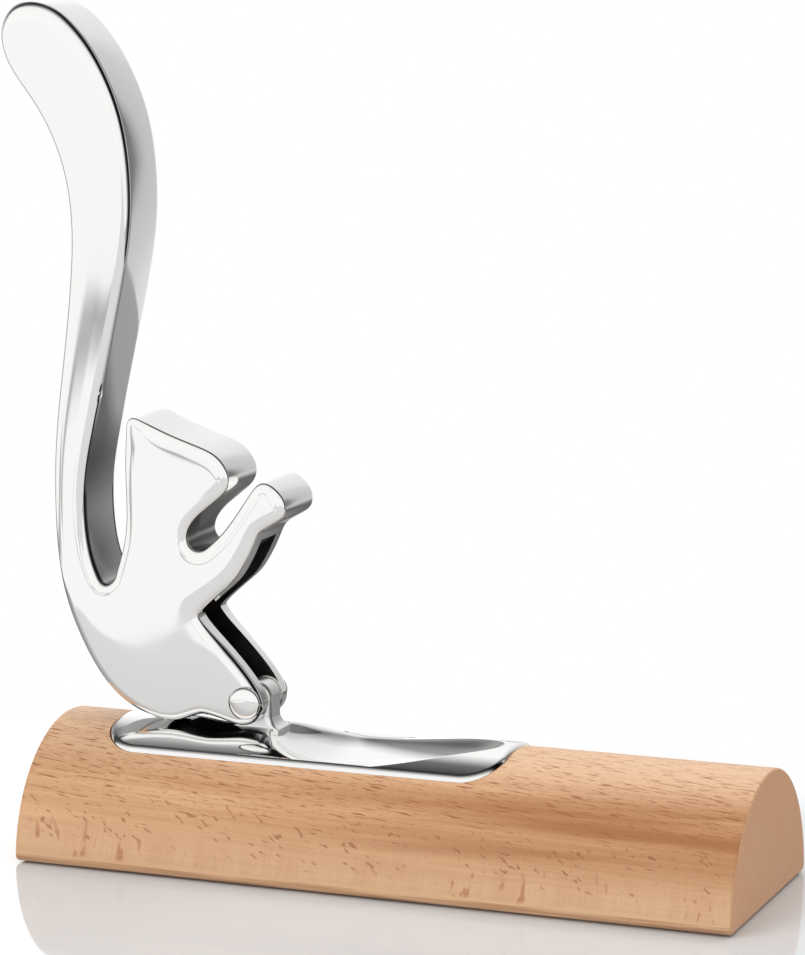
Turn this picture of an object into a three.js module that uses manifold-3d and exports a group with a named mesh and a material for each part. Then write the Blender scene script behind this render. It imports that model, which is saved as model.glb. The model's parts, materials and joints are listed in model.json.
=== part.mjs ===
// Lever nutcracker press: a chromed squirrel hinged on a chromed tray
// that is let into a half-round beech log.
// Millimetres, +Z up. +X runs along the log from the hinge to the nut, and -Y is the front.
import * as THREE from "three";
import { mergeVertices } from "three/addons/utils/BufferGeometryUtils.js";
import Module from "manifold-3d";

const wasm = await Module();
wasm.setup();

// Clearances: the gap left between neighbours, and how far a cutter runs past the face that it cuts
const gap = 0.3;
const overrun = 4;

// Beech log, half round, flat side down
const logLength = 220;
const logRadius = 38.2;
const logBottomChamfer = 1.8;
const logEndChamfer = 0.8;

// Foot pads, sunk in the underside of the log
const padRadius = 6;
const padThickness = 2;
const padProud = 0.6;
const padInsetX = 18;
const padInsetY = 12;

// Tray casting: a skirted shell whose crown follows the log, with a nut bowl sunk in it
const trayLength = 124.8;
const trayWidth = 41.4;
const trayCornerRadius = 11.5;
const traySetback = 76;
const trayProud = 0.8;
const trayDepth = 19;
const trayWall = 3;

// Nut bowl: an egg-shaped hollow, round towards the hinge and drawn out towards the far end
const bowlReach = 28.2;
const bowlNearRadius = 22.5;
const bowlFarRadius = 49;
const bowlHalfWidth = 25;
const bowlTaperShare = 0.36;
const bowlDrop = 11.7;
const bowlRise = 2;

// Hinge: the lug on the tray, its bush, and the pin that the lever turns on
const hingeFromTrayEnd = 43.6;
const hingeHeight = 8.25;
const lugThickness = 9.2;
const lugRadius = 5.2;
const lugFlare = 2.6;
const pinRadius = 2;
const bushWall = 0.9;
const washerThickness = 0.4;
const washerRadius = 5;
const pinHeadRadius = 4.8;
const pinHeadHeight = 2.2;
const pinHeadRim = 1;
const spotFaceDepth = 1;
const capStudRadius = 1;
const capStudLength = 6;

// Screws that hold the tray down from below, with their washers
const screwRadius = 2;
const screwHeadRadius = 3.6;
const screwHeadHeight = 2.4;
const screwGrip = 8;
const screwBossRadius = 4.6;
const screwWasherRadius = 5;
const screwWasherThickness = 0.8;
const counterboreDepth = 7;
const endScrewInset = 10;
const socketRadius = 1.3;
const socketDepth = 1.4;

// Lever: the squirrel, one thick casting with rounded edges and a slot along its jaw
const leverHeight = 204.5;
const leverReach = 77.7;
const leverThickness = 23.4;
const leverEdgeRound = 2;
const earRoundShare = 0.026;

// Smoothness of the round stretches
const sidesFine = 96;
const sidesCoarse = 24;
const splineSteps = 3;
const edgeSteps = 3;
const chamferSteps = 1;
const domeSteps = 6;

// Places that follow from the sizes above, in the log's own frame: underside at z = 0, middle at x = 0
const crownZ = logRadius + trayProud;
const trayX = logLength / 2 - traySetback - trayLength / 2;
const trayEndX = trayX - trayLength / 2;
const trayFootZ = crownZ - trayDepth;
const pocketFloorZ = trayFootZ - gap;
const hingeX = trayEndX + hingeFromTrayEnd;
const hingeZ = crownZ + hingeHeight;
const bowlX = hingeX + bowlReach;
const bowlZ = crownZ + bowlRise;
const boreRadius = pinRadius + gap;
const bushRadius = boreRadius + bushWall;
const slotWidth = lugThickness + 2 * (washerThickness + 2 * gap);
const spotFaceY = leverThickness / 2 - spotFaceDepth;
const screwXs = [trayEndX + endScrewInset, hingeX, trayX + trayLength / 2 - endScrewInset];

// The squirrel's outline about the hinge. Across is in shares of the reach, up is in shares of the height.
// The back runs from the notch by the foot, round the haunch, up the tail, down its inside and up to the ear.
const backShares = [
  [-0.188, -0.019], [-0.225, -0.028], [-0.314, -0.0385], [-0.413, -0.033], [-0.54, -0.007], [-0.616, 0.023],
  [-0.697, 0.076], [-0.751, 0.124], [-0.784, 0.179], [-0.799, 0.259], [-0.793, 0.366], [-0.758, 0.478],
  [-0.725, 0.586], [-0.713, 0.675], [-0.734, 0.746], [-0.798, 0.814], [-0.878, 0.862], [-0.943, 0.892],
  [-0.99, 0.928], [-0.993, 0.963], [-0.946, 0.991], [-0.86, 1], [-0.774, 0.992], [-0.694, 0.97],
  [-0.641, 0.948], [-0.579, 0.912], [-0.495, 0.835], [-0.463, 0.748], [-0.463, 0.69], [-0.499, 0.602],
  [-0.566, 0.486], [-0.631, 0.376], [-0.666, 0.303], [-0.663, 0.237], [-0.627, 0.179], [-0.583, 0.16],
  [-0.551, 0.166], [-0.529, 0.186], [-0.502, 0.22], [-0.491, 0.275], [-0.497, 0.35], [-0.491, 0.382],
];
// The head runs from behind the ear over the nose, round the throat, along the arm, under the paw to the jaw.
const headShares = [
  [-0.491, 0.382], [-0.489, 0.394], [-0.478, 0.403], [-0.456, 0.407], [-0.431, 0.405], [-0.366, 0.394],
  [-0.251, 0.378], [-0.143, 0.365], [-0.107, 0.356], [-0.082, 0.345], [-0.066, 0.333], [-0.062, 0.322],
  [-0.072, 0.309], [-0.106, 0.294], [-0.166, 0.277], [-0.223, 0.254], [-0.239, 0.236], [-0.226, 0.223],
  [-0.188, 0.218],
  [-0.144, 0.227], [-0.089, 0.247], [-0.033, 0.276], [0.025, 0.31], [0.054, 0.321], [0.08, 0.324],
  [0.107, 0.321], [0.136, 0.313], [0.161, 0.301], [0.169, 0.289], [0.162, 0.276], [0.139, 0.267],
  [0.103, 0.259], [0.07, 0.252], [0.044, 0.239], [0.026, 0.22], [-0.003, 0.198], [-0.032, 0.181],
  [-0.067, 0.167], [-0.116, 0.152], [-0.16, 0.138], [-0.208, 0.121],
];
// The leg runs from the jaw's corner down to the foot, and round the foot to the notch.
const legShares = [
  [-0.208, 0.121], [-0.138, 0.097], [-0.071, 0.072], [-0.015, 0.05], [0.024, 0.032], [0.052, 0.014],
  [0.064, -0.004], [0.05, -0.021], [0.012, -0.033], [-0.04, -0.036], [-0.11, -0.029], [-0.188, -0.019],
];
// The slot's blind side, from the arm down behind the leg to the notch by the foot.
const slotShares = [
  [0.02, 0.226], [-0.02, 0.217], [-0.07, 0.204], [-0.12, 0.19], [-0.19, 0.176], [-0.27, 0.158],
  [-0.3, 0.13], [-0.27, 0.1], [-0.21, 0.07], [-0.15, 0.04], [-0.12, 0.01], [-0.125, -0.02],
];
// The slot's open side runs clear of the jaw, the leg and the foot.
const slotMouthShares = [
  [-0.125, -0.08], [0.18, -0.08], [0.18, 0.03], [-0.06, 0.13], [0.12, 0.2],
];

const chrome = new THREE.MeshStandardMaterial({ color: 0xe2e2e0, roughness: 0.06, metalness: 1 });
const beech = new THREE.MeshStandardMaterial({ color: 0xd0a27a, roughness: 0.5, metalness: 0 });
const steel = new THREE.MeshStandardMaterial({ color: 0xb4b6b8, roughness: 0.35, metalness: 1 });
const bronze = new THREE.MeshStandardMaterial({ color: 0xa9824a, roughness: 0.4, metalness: 1 });
const nylon = new THREE.MeshStandardMaterial({ color: 0xe8e6de, roughness: 0.6, metalness: 0 });
const rubber = new THREE.MeshStandardMaterial({ color: 0x2a2a2a, roughness: 0.9, metalness: 0 });

function toSolid(geometry) {
  const bare = geometry.clone();
  bare.deleteAttribute("normal");
  bare.deleteAttribute("uv");
  const merged = mergeVertices(bare);
  const corners = merged.index.array;
  const triangles = [];
  for (let first = 0; first < corners.length; first += 3) {
    const [a, b, c] = corners.slice(first, first + 3);
    if (a !== b && b !== c && c !== a) triangles.push(a, b, c);
  }
  const vertProperties = Float32Array.from(merged.attributes.position.array);
  const triVerts = Uint32Array.from(triangles);
  return new wasm.Manifold(new wasm.Mesh({ numProp: 3, vertProperties, triVerts }));
}

function toMesh(name, solid, material, x = 0, y = 0, z = 0) {
  const { vertProperties, triVerts } = solid.getMesh();
  const geometry = new THREE.BufferGeometry();
  geometry.setAttribute("position", new THREE.BufferAttribute(vertProperties, 3));
  geometry.setIndex(new THREE.BufferAttribute(triVerts, 1));
  geometry.computeVertexNormals();
  const mesh = new THREE.Mesh(geometry, material);
  mesh.name = name;
  mesh.position.set(x, y, z);
  return mesh;
}

// An upright cylinder between two heights.
function post(radius, bottom, top, sides = sidesCoarse) {
  const geometry = new THREE.CylinderGeometry(radius, radius, top - bottom, sides);
  geometry.rotateX(Math.PI / 2);
  geometry.translate(0, 0, (bottom + top) / 2);
  return geometry;
}

// A cylinder along Y between two places.
function crossPin(radius, front, back, sides = sidesCoarse) {
  const geometry = new THREE.CylinderGeometry(radius, radius, back - front, sides);
  geometry.translate(0, (front + back) / 2, 0);
  return geometry;
}

// A plate standing in the X-Z plane, centred on Y, from a shape drawn across and up.
function standingPlate(shape, thickness, round = 0) {
  const geometry = new THREE.ExtrudeGeometry(shape, {
    depth: thickness - 2 * round,
    curveSegments: splineSteps,
    bevelEnabled: round > 0,
    bevelThickness: round,
    bevelSize: round,
    bevelOffset: -round,
    bevelSegments: edgeSteps,
  });
  geometry.rotateX(Math.PI / 2);
  geometry.translate(0, thickness / 2 - round, 0);
  return geometry;
}

function roundedPlan(length, width, radius) {
  const [x, y] = [length / 2, width / 2];
  const quarter = Math.PI / 2;
  const shape = new THREE.Shape();
  shape.absarc(x - radius, y - radius, radius, 0, quarter);
  shape.absarc(radius - x, y - radius, radius, quarter, 2 * quarter);
  shape.absarc(radius - x, radius - y, radius, 2 * quarter, 3 * quarter);
  shape.absarc(x - radius, radius - y, radius, 3 * quarter, 4 * quarter);
  return shape;
}

// An upright block with the tray's plan, drawn in by an inset.
function trayBlock(inset, bottom, top) {
  const plan = roundedPlan(trayLength - 2 * inset, trayWidth - 2 * inset, trayCornerRadius - inset);
  const options = { depth: top - bottom, bevelEnabled: false, curveSegments: sidesCoarse / 4 };
  const geometry = new THREE.ExtrudeGeometry(plan, options);
  geometry.translate(trayX, 0, bottom);
  return toSolid(geometry);
}

// The round bar about the log's axis, as long as the tray needs.
function crownBar(radius) {
  const length = trayLength + 2 * overrun;
  const geometry = new THREE.CylinderGeometry(radius, radius, length, sidesFine);
  geometry.rotateZ(Math.PI / 2);
  geometry.translate(trayX, 0, 0);
  return toSolid(geometry);
}

// The egg that sinks the nut bowl, grown by a wall for the bowl's underside. It narrows towards the far end.
function bowlEgg(wall) {
  const geometry = new THREE.SphereGeometry(1, sidesCoarse, sidesCoarse / 2);
  const place = geometry.attributes.position;
  for (let i = 0; i < place.count; i += 1) {
    const along = place.getX(i);
    const farShare = Math.max(along, 0);
    const narrowing = 1 - bowlTaperShare * (1 - Math.cos(Math.PI * farShare)) / 2;
    const x = along * ((along < 0 ? bowlNearRadius : bowlFarRadius) + wall);
    const y = place.getY(i) * (bowlHalfWidth * narrowing + wall);
    const z = place.getZ(i) * (bowlDrop + wall);
    place.setXYZ(i, x, y, z);
  }
  geometry.translate(bowlX, 0, bowlZ);
  return toSolid(geometry);
}

function logBase() {
  const flat = logRadius - logBottomChamfer;
  const low = Math.asin(logBottomChamfer / logRadius);
  const section = new THREE.Shape();
  section.moveTo(-flat, 0);
  section.lineTo(flat, 0);
  section.absarc(0, 0, logRadius, low, Math.PI - low);
  const geometry = new THREE.ExtrudeGeometry(section, {
    depth: logLength - 2 * logEndChamfer,
    curveSegments: sidesFine / 2,
    bevelThickness: logEndChamfer,
    bevelSize: logEndChamfer,
    bevelOffset: -logEndChamfer,
    bevelSegments: chamferSteps,
  });
  geometry.rotateX(Math.PI / 2);
  geometry.rotateZ(Math.PI / 2);
  geometry.translate(logEndChamfer - logLength / 2, 0, 0);
  let solid = toSolid(geometry);
  solid = solid.subtract(trayBlock(-gap, pocketFloorZ, crownZ + overrun));
  for (const x of screwXs) {
    const hole = post(screwRadius + gap, -overrun, pocketFloorZ + overrun).translate(x, 0, 0);
    const counterbore = post(screwWasherRadius + gap, -overrun, counterboreDepth).translate(x, 0, 0);
    solid = solid.subtract(toSolid(hole)).subtract(toSolid(counterbore));
  }
  for (const [x, y] of padPlaces()) {
    const recess = post(padRadius + gap, -overrun, padThickness - padProud + gap).translate(x, y, 0);
    solid = solid.subtract(toSolid(recess));
  }
  return solid;
}

function padPlaces() {
  const [x, y] = [logLength / 2 - padInsetX, logRadius - padInsetY];
  return [[-x, -y], [x, -y], [-x, y], [x, y]];
}

function lug() {
  const top = hingeHeight;
  const base = -trayWall;
  const shape = new THREE.Shape();
  shape.moveTo(-lugRadius - lugFlare, base);
  shape.lineTo(lugRadius + lugFlare, base);
  shape.lineTo(lugRadius + lugFlare, -gap);
  shape.quadraticCurveTo(lugRadius, 0, lugRadius, lugFlare);
  shape.lineTo(lugRadius, top);
  shape.absarc(0, top, lugRadius, 0, Math.PI);
  shape.lineTo(-lugRadius, lugFlare);
  shape.quadraticCurveTo(-lugRadius, 0, -lugRadius - lugFlare, -gap);
  const geometry = new THREE.ExtrudeGeometry(shape, {
    depth: lugThickness,
    bevelEnabled: false,
    curveSegments: sidesCoarse / 2,
  });
  geometry.rotateX(Math.PI / 2);
  geometry.translate(hingeX, lugThickness / 2, crownZ);
  return toSolid(geometry);
}

function tray() {
  const hollow = trayBlock(trayWall, trayFootZ - overrun, crownZ)
    .intersect(crownBar(crownZ - trayWall))
    .subtract(bowlEgg(trayWall));
  let solid = trayBlock(0, trayFootZ, crownZ + overrun).intersect(crownBar(crownZ)).subtract(hollow);
  for (const x of screwXs) {
    const boss = post(screwBossRadius, trayFootZ, crownZ - trayWall / 2).translate(x, 0, 0);
    solid = solid.add(toSolid(boss));
  }
  solid = solid.subtract(bowlEgg(0)).add(lug());
  for (const x of screwXs) {
    const hole = post(screwRadius + gap, trayFootZ - overrun, trayFootZ + screwGrip + gap).translate(x, 0, 0);
    solid = solid.subtract(toSolid(hole));
  }
  const bore = crossPin(bushRadius + gap, -lugThickness, lugThickness).translate(hingeX, 0, hingeZ);
  return solid.subtract(toSolid(bore));
}

// A cap screw standing head down, with a round socket in its head.
function trayScrew() {
  const headTop = counterboreDepth - 2 * gap - screwWasherThickness;
  const headBottom = headTop - screwHeadHeight;
  const head = toSolid(post(screwHeadRadius, headBottom, headTop));
  const shank = toSolid(post(screwRadius, headTop - screwHeadHeight / 2, trayFootZ + screwGrip));
  const socket = toSolid(post(socketRadius, headBottom - overrun, headBottom + socketDepth));
  return head.add(shank).subtract(socket);
}

function screwWasher() {
  const top = counterboreDepth - gap;
  const bottom = top - screwWasherThickness;
  const hole = toSolid(post(screwRadius + gap, bottom - overrun, top + overrun));
  return toSolid(post(screwWasherRadius, bottom, top)).subtract(hole);
}

function crossRing(outer, inner, front, back) {
  const hole = toSolid(crossPin(inner, front - overrun, back + overrun));
  return toSolid(crossPin(outer, front, back)).subtract(hole);
}

function leverPoints(shares) {
  return shares.map(([across, up]) => new THREE.Vector2(across * leverReach, up * leverHeight));
}

function squirrel() {
  const [notch, ...back] = leverPoints(backShares);
  const outline = new THREE.Shape();
  outline.moveTo(notch.x, notch.y);
  outline.splineThru(back);
  outline.splineThru(leverPoints(headShares).slice(1));
  outline.splineThru(leverPoints(legShares).slice(1));
  // The rounding stays below the radius of the ear's corner, which shrinks with the reach.
  const edgeRound = Math.min(leverEdgeRound, earRoundShare * leverReach);
  let solid = toSolid(standingPlate(outline, leverThickness, edgeRound));

  const slot = new THREE.Shape();
  const [start, ...blindSide] = leverPoints(slotShares);
  slot.moveTo(start.x, start.y);
  slot.splineThru(blindSide);
  for (const corner of leverPoints(slotMouthShares)) slot.lineTo(corner.x, corner.y);
  solid = solid.subtract(toSolid(standingPlate(slot, slotWidth)));

  solid = solid.subtract(toSolid(crossPin(boreRadius, -leverThickness, leverThickness)));
  const spotRadius = pinHeadRadius + gap;
  const frontSpot = crossPin(spotRadius, -leverThickness, -spotFaceY);
  const backSpot = crossPin(spotRadius, spotFaceY, leverThickness);
  return solid.subtract(toSolid(frontSpot)).subtract(toSolid(backSpot));
}

// A pin head seen from behind: a low dome on a straight rim, whose flat side stands at the seat.
function pinHead(seat) {
  const dome = pinHeadHeight - pinHeadRim;
  const profile = [new THREE.Vector2(0, seat), new THREE.Vector2(pinHeadRadius, seat)];
  for (let step = 0; step < domeSteps; step += 1) {
    const turn = (step / domeSteps) * Math.PI / 2;
    const place = seat + pinHeadRim + dome * Math.sin(turn);
    profile.push(new THREE.Vector2(pinHeadRadius * Math.cos(turn), place));
  }
  profile.push(new THREE.Vector2(0, seat + pinHeadHeight));
  return new THREE.LatheGeometry(profile, sidesCoarse);
}

function hingePin() {
  const seat = spotFaceY + gap;
  const end = spotFaceY - gap;
  const shank = toSolid(crossPin(pinRadius, -seat - gap, end));
  const head = toSolid(pinHead(seat).rotateZ(Math.PI));
  const bore = toSolid(crossPin(capStudRadius + gap, end - capStudLength - gap, end + overrun));
  return head.add(shank).subtract(bore);
}

function hingeCap() {
  const seat = spotFaceY + gap;
  const stud = toSolid(crossPin(capStudRadius, spotFaceY - capStudLength, seat + gap));
  return toSolid(pinHead(seat)).add(stud);
}

const base = new THREE.Group();
base.add(toMesh("log_base", logBase(), beech));
base.add(toMesh("tray", tray(), chrome));

const bush = crossRing(bushRadius, boreRadius, -lugThickness / 2, lugThickness / 2);
base.add(toMesh("lug_bush", bush, bronze, hingeX, 0, hingeZ));

const thrustWasher = crossRing(washerRadius, boreRadius, -washerThickness / 2, washerThickness / 2);
const washerY = lugThickness / 2 + gap + washerThickness / 2;
base.add(toMesh("thrust_washer_front", thrustWasher, nylon, hingeX, -washerY, hingeZ));
base.add(toMesh("thrust_washer_rear", thrustWasher, nylon, hingeX, washerY, hingeZ));

const screwNames = ["left", "hinge", "right"];
screwXs.forEach((x, i) => {
  base.add(toMesh(`tray_screw_${screwNames[i]}`, trayScrew(), steel, x));
  base.add(toMesh(`tray_screw_washer_${screwNames[i]}`, screwWasher(), steel, x));
});

const padNames = ["front_left", "front_right", "rear_left", "rear_right"];
padPlaces().forEach(([x, y], i) => {
  const pad = toSolid(post(padRadius, -padProud, padThickness - padProud));
  base.add(toMesh(`foot_pad_${padNames[i]}`, pad, rubber, x, y));
});

const lever = new THREE.Group();
lever.position.set(hingeX, 0, hingeZ);
lever.add(toMesh("squirrel_lever", squirrel(), chrome));
lever.add(toMesh("hinge_pin", hingePin(), chrome));
lever.add(toMesh("hinge_cap", hingeCap(), chrome));

// The whole press stands on its pads at z = 0, with the middle of its bounding box over the origin.
const press = new THREE.Group();
press.name = "lever_nutcracker_press";
press.add(base, lever);
press.updateMatrixWorld(true);
const box = new THREE.Box3().setFromObject(press);
press.position.set(-(box.min.x + box.max.x) / 2, -(box.min.y + box.max.y) / 2, -box.min.z);

export default press;
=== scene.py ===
"""The looks of the lever nutcracker press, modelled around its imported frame.

Metres, in the frame's own axes: +X along the log towards the nut bowl, -Y the front, +Z up.
"""
import json
import math

import bmesh
import bpy
import numpy as np
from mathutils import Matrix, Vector


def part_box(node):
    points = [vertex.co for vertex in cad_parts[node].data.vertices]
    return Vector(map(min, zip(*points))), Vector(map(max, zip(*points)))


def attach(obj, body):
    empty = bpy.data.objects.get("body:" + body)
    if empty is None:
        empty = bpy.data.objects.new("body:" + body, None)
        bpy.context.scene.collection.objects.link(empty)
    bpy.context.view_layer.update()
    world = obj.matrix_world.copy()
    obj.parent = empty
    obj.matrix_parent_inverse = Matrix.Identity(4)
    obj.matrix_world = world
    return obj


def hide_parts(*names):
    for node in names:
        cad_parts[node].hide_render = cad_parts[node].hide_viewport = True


METRE = 1
MM = 0.001
QUARTER = math.pi / 2

# The camera that was fitted to the photograph, in the frame's axes
PHOTO_HEIGHT_PX = 955
FOCAL_PX = 3850.4
SENSOR_MM = 36
CAMERA_AZIMUTH_DEG = 21.254
CAMERA_ELEVATION_DEG = 9.472
CAMERA_DISTANCE = 1116.5 * MM
CAMERA_TARGET = Vector((5.553, 0, 116.27)) * MM
CLIP_START = 10 * MM
CLIP_END = 100 * METRE

# Lever
LEVER_REACH = 77.7 * MM
LEVER_HEIGHT = 204.5 * MM
EDGE_ROUND = 3 * MM
SIDE_CROWN = 0.25 * MM
FACE_CROWN = 0.12 * MM
FACE_CROWN_REACH = 15 * MM
# About the head and arm the edges are tighter at the side and wider at the face: the turn where the two
# radii meet, the tighter one's share, and the region's middle from the hinge, its reach and its blend.
BEVEL_TURN = math.radians(60)
TIGHT_SHARE = 0.35
TIGHT_MIDDLE = (-16 * MM, 58 * MM)
TIGHT_REACH = (36 * MM, 38 * MM)
TIGHT_BLEND = (0.9, 1.15)
SLOT_WIDTH = 11.2 * MM
PIN_BORE_RADIUS = 2.3 * MM
SPOT_FACE_RADIUS = 5.1 * MM
SPOT_FACE_DEPTH = 1 * MM

# Hinge pin and its cap
PIN_RADIUS = 2 * MM
PIN_HEAD_RADIUS = 4.8 * MM
PIN_HEAD_HEIGHT = 2.2 * MM
PIN_HEAD_RIM = 0.5 * MM
PIN_SEAT_GAP = 0.3 * MM
CAP_HEAD_RADIUS = 3.9 * MM
CAP_HEAD_HEIGHT = 1.9 * MM

# Tray
TRAY_PROUD = 0.8 * MM
TRAY_CORNER_RADIUS = 11.5 * MM
TRAY_WALL = 3 * MM
TRAY_EDGE_ROUND = 1.5 * MM
LUG_THICKNESS = 9.2 * MM
LUG_RADIUS = 5.2 * MM
LUG_FLARE = 2.6 * MM
LUG_EDGE_ROUND = 2.2 * MM
LUG_BORE_RADIUS = 3.5 * MM
BOSS_RADIUS = 4.6 * MM
BOWL_REACH = 28.2 * MM
BOWL_NEAR_RADIUS = 22.5 * MM
BOWL_FAR_RADIUS = 49 * MM
BOWL_HALF_WIDTH = 25 * MM
BOWL_TAPER_SHARE = 0.36
BOWL_DROP = 11.7 * MM
BOWL_RISE = 2 * MM
BOWL_RIM_BLEND = 2.4 * MM
BOWL_BRIM_RISE = 60 * MM

# Log, pocket and feet
LOG_EDGE_ROUND = 1.9 * MM
LOG_END_ROUND = 0.8 * MM
POCKET_GAP = 0.3 * MM
SCREW_HOLE_RADIUS = 2.3 * MM
COUNTERBORE_RADIUS = 5.3 * MM
COUNTERBORE_DEPTH = 7 * MM
PAD_EDGE_ROUND = 0.5 * MM
CUTTER_OVERRUN = 4 * MM

# The studio as the chrome mirrors it, as (degrees, brightness). Directions run from 0 straight in front over
# the left, the back at 180 and the right. Heights run from 0 at the back over the ceiling to 180 in front.
FULL_TURN_DEG = 360
SIDE_LIGHT = [
    (0, 1), (100, 1), (112, 0.35), (142, 0.35), (152, 1), (158, 1), (168, 0.88), (183, 0.83), (190, 0.77),
    (196, 0.64), (204, 0.56), (206, 0.48), (208, 0.2), (213, 0.18), (224, 0.23), (228, 0.6), (232, 0.6),
    (239, 0.08), (245, 0.018), (264, 0.012), (275, 0.18), (285, 0.64), (296, 0.97), (360, 1),
]
CEILING_LIGHT = [
    (0, 1), (45, 1), (50, 0.86), (54, 0.76), (58, 0.6), (61, 0.49), (65, 0.4), (68, 0.33), (71, 0.25),
    (73, 0.2), (75, 0.12), (80, 0.05), (98, 0.05), (104, 0.12), (107, 0.2), (111, 0.3), (115, 0.41),
    (120, 0.53), (125, 0.68), (129, 0.82), (135, 0.96), (180, 1),
]
# A bright window low at the back on the left, which the open floor mirrors: its direction and height.
WINDOW_TURN_DEG = (147, 155)
WINDOW_HEIGHT_DEG = (9, 22)
WINDOW_BLUR_DEG = 1.5
WINDOW_LIGHT = 2.2
# A painted reflection: a sheet that the press seems to stand on, which the floor shows only in mirrors,
# across and away from the camera.
SHEET_LEFT = -330 * MM
SHEET_RIGHT = 400 * MM
SHEET_FRONT = -186 * MM
SHEET_BACK = 460 * MM
SHEET_CUT = -226 * MM
SHEET_CUT_SLOPE = 0.33
SHEET_BLUR = 3 * MM
SHEET_HALF = 500 * MM
# The painted sheet's glow, from in front of it to behind it, in millimetres.
PAINTED_SHEET_LIGHT = [
    (0, 0.735), (310, 0.735), (410, 0.7), (440, 0.6), (500, 0.47), (590, 0.3), (660, 0.255), (740, 0.14),
    (810, 0.14), (850, 0.34), (1000, 0.37),
]
FLOOR_BEYOND = 0.975
# A painted reflection of a bench's far front edge, which turns a corner. Each side is a slope and a place,
# across or away.
BENCH_FRONT_SLOPE = 0.27
BENCH_FRONT = 580 * MM
BENCH_SIDE_SLOPE = 0.54
BENCH_SIDE = 548 * MM
BENCH_EDGE_BLUR = 130 * MM
PAINTED_BENCH_EDGE_LIGHT = 0.4
# The floor as the camera sees it fades to white this far from the log, so many times sooner behind it.
FLOOR_NEAR = 120 * MM
FLOOR_FAR = 300 * MM
FLOOR_BEHIND = 3
FLOOR_SIZE = 40 * METRE
FLOOR_COLOUR = (0.49, 0.505, 0.515, 1)
FLOOR_SHINE = (0.23, 0.23, 0.23, 1)
FLOOR_ROUGH = 0.05
FLOOR_TINT = (1, 0.995, 0.985, 1)
STUDIO_TINT = (1, 0.992, 0.98, 1)
WHITE = (1, 1, 1, 1)
FILL_LIGHT = 0.75
# Each lamp's place, size and watts
KEY_LAMP = ((-0.7 * METRE, -1 * METRE, 1.3 * METRE), 0.9 * METRE, 10.5)
TOP_LAMP = ((0.2 * METRE, 0.6 * METRE, 1.45 * METRE), 1.2 * METRE, 9)

# Finishes. A noise is its marks in a metre and its detail, a bump its strength and depth, and a span where a
# value is read from and to, and what it turns into there.
CHROME_COLOURS = ((0.95, 0.95, 0.945, 1), (0.955, 0.955, 0.952, 1))
CHROME_HAZE = (60, 3)
CHROME_SWELL = (45, 1)
CHROME_BUMP = (0.02, 0.2 * MM)
CHROME_ROUGH = 0.03
LUG_ROUGH = 0.3
HAZE_SPAN = (0.3, 0.7)
HAZE_ROUGH = 0.04
# Painted shade: the slot's walls are coloured near black for the shade inside the slot, and are rough.
SLOT_SHADE_COLOURS = ((0.012, 0.012, 0.012, 1), (0.03, 0.029, 0.028, 1))
SLOT_SHADE_CLOUD = (160, 2)
SLOT_SHADE_CLOUD_SPAN = (0.35, 0.65)
RAW_GRAIN = (1800, 3)
RAW_BUMP = (0.4, 0.1 * MM)
RAW_ROUGH = 0.5
RAW_METALLIC = 0.6
# Plain ones: their two colours, roughness, mottles in a metre, bump, metal and stretch.
RUBBER = (((0.012, 0.012, 0.012, 1), (0.03, 0.03, 0.03, 1)), 0.8, 2500, (0.3, 0.05 * MM))
NYLON = (((0.74, 0.72, 0.66, 1), (0.82, 0.8, 0.75, 1)), 0.5, 400)
TURNED_METAL = (1, (0.1, 0.05 * MM), 1, (900, 900, 5000))
BRONZE = (((0.32, 0.19, 0.07, 1), (0.42, 0.26, 0.11, 1)), 0.35, *TURNED_METAL)
STEEL = (((0.42, 0.43, 0.44, 1), (0.52, 0.53, 0.54, 1)), 0.3, *TURNED_METAL)

# The beech. Its noises are marks in a metre along and across the grain, and detail.
BEECH_DARK = (0.575, 0.305, 0.147, 1)
BEECH_LIGHT = (0.76, 0.455, 0.245, 1)
STREAKS = (6, 130, 4)
STREAK_SPAN = (0.3, 0.7)
BEECH_ROUGH = (0.4, 0.52)
BEECH_BUMP = (0.15, 0.1 * MM)
BEECH_TONE = (0.71, 0.435, 0.25, 1)
TONES = (3, 22, 2)
TONE_SPAN = (0.35, 0.7, 0, 0.5)
BEECH_LINE = (0.46, 0.225, 0.1, 1)
LINES = (16, 1000, 2)
LINE_SPAN = (0.35, 0.65, 0.32, 0)
LINE_SLANT_DEG = 2
BEECH_LOW = (0.84, 0.545, 0.32, 1)
LOW_PALE_SPAN = (8 * MM, 19 * MM, 0.5, 0)
# Painted sheen: the top of the log is paler, where the light falls on it.
BEECH_TOP_SHEEN = (0.79, 0.54, 0.36, 1)
TOP_SHEEN_SPAN = (27 * MM, 38 * MM, 0, 0.5)
# Painted shade: a darker band at a height along the streaks, which grows towards the right, away from the
# light.
BEECH_SHADE_BAND = (0.375, 0.15, 0.052, 1)
BAND_HEIGHT = 22 * MM
BAND_SPAN = (4 * MM, 16 * MM, 0.95, 0)
BAND_GROWTH_SPAN = (-90 * MM, 90 * MM)
BAND_STREAK_SPAN = (0.35, 0.6, 1, 0.55)
# Pores: strokes, which need less noise higher up, and steeper lenses about a height.
BEECH_PORE = (0.31, 0.105, 0.035, 1)
PORE_STRENGTH = 0.8
STROKES = (150, 1800, 1)
FINE_STROKES = (330, 3200, 1)
FINE_STRENGTH = 0.55
STROKE_SLANT_DEG = 7
STROKES_NEEDED_SPAN = (8 * MM, 26 * MM, 0.76, 0.61)
STROKE_FADE = 0.06
LENSES = (260, 850, 1)
LENS_SPAN = (0.66, 0.7)
LENS_SLANT_DEG = 32
LENS_HEIGHT = 15 * MM
LENS_BAND_SPAN = (4.5 * MM, 9 * MM, 0.85, 0)
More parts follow.
